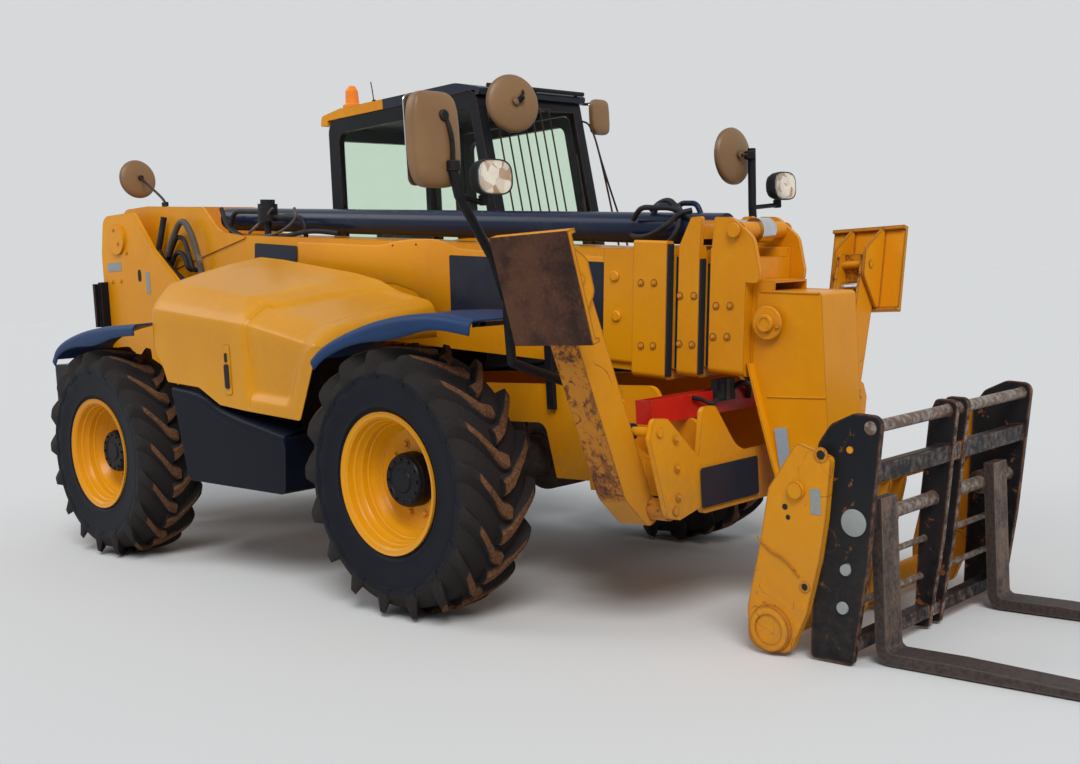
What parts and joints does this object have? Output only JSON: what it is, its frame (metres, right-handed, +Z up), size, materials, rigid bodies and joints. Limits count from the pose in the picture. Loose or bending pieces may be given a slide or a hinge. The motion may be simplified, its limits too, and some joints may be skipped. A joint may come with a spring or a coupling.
{
  "type": "telehandler",
  "caption": "Telescopic handler with a side cab, engine pod, four section boom, fork carriage, front stabilisers and four wheel steering.",
  "frame": {"origin": "on the ground, in the middle of the machine's overall length and on the middle plane between its wheels", "axes": "+X forward towards the forks, +Y to the machine's left where the cab is, +Z up"},
  "size_m": [7.45, 2.816, 2.836],
  "materials": {
    "axle_paint": "dirty black casting",
    "beacon_amber": "amber dome",
    "boom_yellow": "semi gloss enamel",
    "carriage_black": "black paint rubbed to rust",
    "chrome_rod": "polished piston rod",
    "cover_plastic": "moulded black plastic",
    "fork_steel": "scraped forged steel",
    "frame_black": "satin black",
    "hose_rubber": "black hydraulic hose",
    "lamp_glass": "clear lens in black housing",
    "leg_paint": "scuffed enamel with rust",
    "machine_yellow": "semi gloss enamel, worn at edges",
    "mirror_black": "weathered black housing",
    "pad_rust": "rusty steel plate",
    "prop_red": "red paint",
    "ram_black": "gloss black barrel",
    "rim_yellow": "enamel with mud",
    "seat_fabric": "dark woven cloth",
    "tail_red": "red lens",
    "tyre_rubber": "muddy rubber",
    "window_glass": "green tinted"
  },
  "bodies": {
    "chassis": {"chassis_frame": "machine_yellow", "rear_weight": "frame_black", "front_frame": "machine_yellow", "front_axle": "axle_paint", "rear_axle": "axle_paint", "cab_frame": "frame_black", "cab_roof": "machine_yellow", "cab_glass": "window_glass", "seat": "seat_fabric", "steering_column": "cover_plastic", "engine_block": "axle_paint", "side_skirt": "cover_plastic", "left_base": "cover_plastic", "front_mudguards": "cover_plastic", "rear_mudguards": "cover_plastic", "light_masts": "frame_black", "head_lamps": "lamp_glass", "mirrors": "mirror_black", "beacon": "beacon_amber", "tail_lamps": "tail_red", "boom_prop": "prop_red"},
    "outer_boom": {"outer_boom": "boom_yellow", "boom_mirror": "mirror_black", "boom_hoses": "hose_rubber"},
    "boom_2": {"boom_2": "boom_yellow", "ram_barrel": "ram_black"},
    "boom_3": {"boom_3": "boom_yellow", "ram_rod": "chrome_rod"},
    "boom_nose": {"boom_nose": "boom_yellow"},
    "lift_barrel": {"lift_barrel": "ram_black"},
    "lift_rod": {"lift_rod": "chrome_rod"},
    "tilt_barrel": {"tilt_barrel": "ram_black"},
    "tilt_rod": {"tilt_rod": "chrome_rod"},
    "carrier": {"tool_carrier": "machine_yellow", "fork_frame": "carriage_black"},
    "fork_left": {"fork_left": "fork_steel"},
    "fork_right": {"fork_right": "fork_steel"},
    "door": {"cab_door": "frame_black", "door_glass": "window_glass"},
    "bonnet": {"bonnet": "machine_yellow"},
    "stabiliser_left_leg": {"stabiliser_leg_left": "leg_paint"},
    "stabiliser_left_pad": {"stabiliser_pad_left": "pad_rust"},
    "stabiliser_left_barrel": {"stabiliser_barrel_left": "ram_black"},
    "stabiliser_left_rod": {"stabiliser_rod_left": "chrome_rod"},
    "knuckle_front_left": {"knuckle_front_left": "axle_paint"},
    "wheel_front_left": {"tyre_front_left": "tyre_rubber", "rim_front_left": "rim_yellow"},
    "knuckle_rear_left": {"knuckle_rear_left": "axle_paint"},
    "wheel_rear_left": {"tyre_rear_left": "tyre_rubber", "rim_rear_left": "rim_yellow"},
    "stabiliser_right_leg": {"stabiliser_leg_right": "leg_paint"},
    "stabiliser_right_pad": {"stabiliser_pad_right": "pad_rust"},
    "stabiliser_right_barrel": {"stabiliser_barrel_right": "ram_black"},
    "stabiliser_right_rod": {"stabiliser_rod_right": "chrome_rod"},
    "knuckle_front_right": {"knuckle_front_right": "axle_paint"},
    "wheel_front_right": {"tyre_front_right": "tyre_rubber", "rim_front_right": "rim_yellow"},
    "knuckle_rear_right": {"knuckle_rear_right": "axle_paint"},
    "wheel_rear_right": {"tyre_rear_right": "tyre_rubber", "rim_rear_right": "rim_yellow"}
  },
  "joints": [
    {"name": "steer_front_left", "type": "hinge", "parent": "chassis", "child": "knuckle_front_left", "pos_m": [0.375, 0.76, 0.635], "axis": [0, 0, 1], "range_deg": [-30, 30]},
    {"name": "wheel_front_left", "type": "hinge", "parent": "knuckle_front_left", "child": "wheel_front_left", "pos_m": [0.375, 1, 0.635], "axis": [0, 1, 0], "continuous": true},
    {"name": "steer_front_right", "type": "hinge", "parent": "chassis", "child": "knuckle_front_right", "pos_m": [0.375, -0.76, 0.635], "axis": [0, 0, 1], "range_deg": [-30, 30]},
    {"name": "wheel_front_right", "type": "hinge", "parent": "knuckle_front_right", "child": "wheel_front_right", "pos_m": [0.375, -1, 0.635], "axis": [0, 1, 0], "continuous": true},
    {"name": "steer_rear_left", "type": "hinge", "parent": "chassis", "child": "knuckle_rear_left", "pos_m": [-2.375, 0.76, 0.635], "axis": [0, 0, 1], "range_deg": [-30, 30]},
    {"name": "wheel_rear_left", "type": "hinge", "parent": "knuckle_rear_left", "child": "wheel_rear_left", "pos_m": [-2.375, 1, 0.635], "axis": [0, 1, 0], "continuous": true},
    {"name": "steer_rear_right", "type": "hinge", "parent": "chassis", "child": "knuckle_rear_right", "pos_m": [-2.375, -0.76, 0.635], "axis": [0, 0, 1], "range_deg": [-30, 30]},
    {"name": "wheel_rear_right", "type": "hinge", "parent": "knuckle_rear_right", "child": "wheel_rear_right", "pos_m": [-2.375, -1, 0.635], "axis": [0, 1, 0], "continuous": true},
    {"name": "boom_lift", "type": "hinge", "parent": "chassis", "child": "outer_boom", "pos_m": [-3.475, 0, 1.99], "axis": [0, -1, 0], "range_deg": [0, 70]},
    {"name": "boom_extend_2", "type": "slide", "parent": "outer_boom", "child": "boom_2", "axis": [0.9962, 0, -0.0872], "range_m": [0, 3.2]},
    {"name": "boom_extend_3", "type": "slide", "parent": "boom_2", "child": "boom_3", "axis": [0.9962, 0, -0.0872], "range_m": [0, 3.2]},
    {"name": "boom_extend_4", "type": "slide", "parent": "boom_3", "child": "boom_nose", "axis": [0.9962, 0, -0.0872], "range_m": [0, 3.2]},
    {"name": "lift_ram_swing", "type": "hinge", "parent": "chassis", "child": "lift_barrel", "pos_m": [-3.025, 0, 1.05], "axis": [0, -1, 0], "range_deg": [0, 65.9]},
    {"name": "lift_ram_stroke", "type": "slide", "parent": "lift_barrel", "child": "lift_rod", "axis": [0.9993, 0, 0.0382], "range_m": [0, 1.1802]},
    {"name": "carrier_tilt", "type": "hinge", "parent": "boom_nose", "child": "carrier", "pos_m": [2.12, 0, 0.108], "axis": [0, 1, 0], "range_deg": [-15, 75]},
    {"name": "tilt_ram_swing", "type": "hinge", "parent": "boom_nose", "child": "tilt_barrel", "pos_m": [1.805, 0, 1.285], "axis": [0, 1, 0], "range_deg": [-3.61, 0.74]},
    {"name": "tilt_ram_stroke", "type": "slide", "parent": "tilt_barrel", "child": "tilt_rod", "axis": [0.349, 0, -0.9371], "range_m": [-0.0404, 0.2001]},
    {"name": "fork_left_slide", "type": "slide", "parent": "carrier", "child": "fork_left", "axis": [0, -1, 0], "range_m": [0, 0.25]},
    {"name": "fork_right_slide", "type": "slide", "parent": "carrier", "child": "fork_right", "axis": [0, 1, 0], "range_m": [0, 0.35]},
    {"name": "stabiliser_left_swing", "type": "hinge", "parent": "chassis", "child": "stabiliser_left_leg", "pos_m": [1.5, 0.72, 0.545], "axis": [-1, 0, 0], "range_deg": [0, 90]},
    {"name": "stabiliser_left_pad_swivel", "type": "hinge", "parent": "stabiliser_left_leg", "child": "stabiliser_left_pad", "pos_m": [1.5, 1.11671, 1.518], "axis": [-1, 0, 0], "range_deg": [-14.62, 0]},
    {"name": "stabiliser_left_ram_swing", "type": "hinge", "parent": "chassis", "child": "stabiliser_left_barrel", "pos_m": [1.5, 0.8, 0.88], "axis": [-1, 0, 0], "range_deg": [0, 102.95]},
    {"name": "stabiliser_left_ram_stroke", "type": "slide", "parent": "stabiliser_left_barrel", "child": "stabiliser_left_rod", "axis": [0, 0.4939, 0.8695], "range_m": [0, 0.4538]},
    {"name": "stabiliser_right_swing", "type": "hinge", "parent": "chassis", "child": "stabiliser_right_leg", "pos_m": [1.5, -0.72, 0.545], "axis": [1, 0, 0], "range_deg": [0, 90]},
    {"name": "stabiliser_right_pad_swivel", "type": "hinge", "parent": "stabiliser_right_leg", "child": "stabiliser_right_pad", "pos_m": [1.5, -1.11671, 1.518], "axis": [1, 0, 0], "range_deg": [-14.62, 0]},
    {"name": "stabiliser_right_ram_swing", "type": "hinge", "parent": "chassis", "child": "stabiliser_right_barrel", "pos_m": [1.5, -0.8, 0.88], "axis": [1, 0, 0], "range_deg": [0, 102.95]},
    {"name": "stabiliser_right_ram_stroke", "type": "slide", "parent": "stabiliser_right_barrel", "child": "stabiliser_right_rod", "axis": [0, -0.4939, 0.8695], "range_m": [0, 0.4538]},
    {"name": "cab_door_swing", "type": "hinge", "parent": "chassis", "child": "door", "pos_m": [-1.42, 1.152, 1.83], "axis": [0, 0, 1], "range_deg": [0, 80]},
    {"name": "bonnet_swing", "type": "hinge", "parent": "chassis", "child": "bonnet", "pos_m": [-1.415, -0.348, 1.64], "axis": [-1, 0, 0], "range_deg": [0, 50]}
  ],
  "couplings": [
    {"joint": "steer_front_left", "follows": "steer_front_right", "ratio": 1},
    {"joint": "steer_rear_left", "follows": "steer_rear_right", "ratio": 1},
    {"joint": "boom_extend_3", "follows": "boom_extend_2", "ratio": 1},
    {"joint": "boom_extend_4", "follows": "boom_extend_2", "ratio": 1},
    {"joint": "lift_ram_swing", "follows": "boom_lift", "ratio": 0.94111},
    {"joint": "lift_ram_stroke", "follows": "boom_lift", "m_per_rad": 0.96562},
    {"joint": "tilt_ram_swing", "follows": "carrier_tilt", "ratio": -0.04781},
    {"joint": "tilt_ram_stroke", "follows": "carrier_tilt", "m_per_rad": 0.15248},
    {"joint": "stabiliser_left_pad_swivel", "follows": "stabiliser_left_swing", "ratio": -0.16222},
    {"joint": "stabiliser_left_ram_swing", "follows": "stabiliser_left_swing", "ratio": 1.1437},
    {"joint": "stabiliser_left_ram_stroke", "follows": "stabiliser_left_swing", "m_per_rad": 0.28859},
    {"joint": "stabiliser_right_pad_swivel", "follows": "stabiliser_right_swing", "ratio": -0.16222},
    {"joint": "stabiliser_right_ram_swing", "follows": "stabiliser_right_swing", "ratio": 1.1437},
    {"joint": "stabiliser_right_ram_stroke", "follows": "stabiliser_right_swing", "m_per_rad": 0.28859}
  ]
}
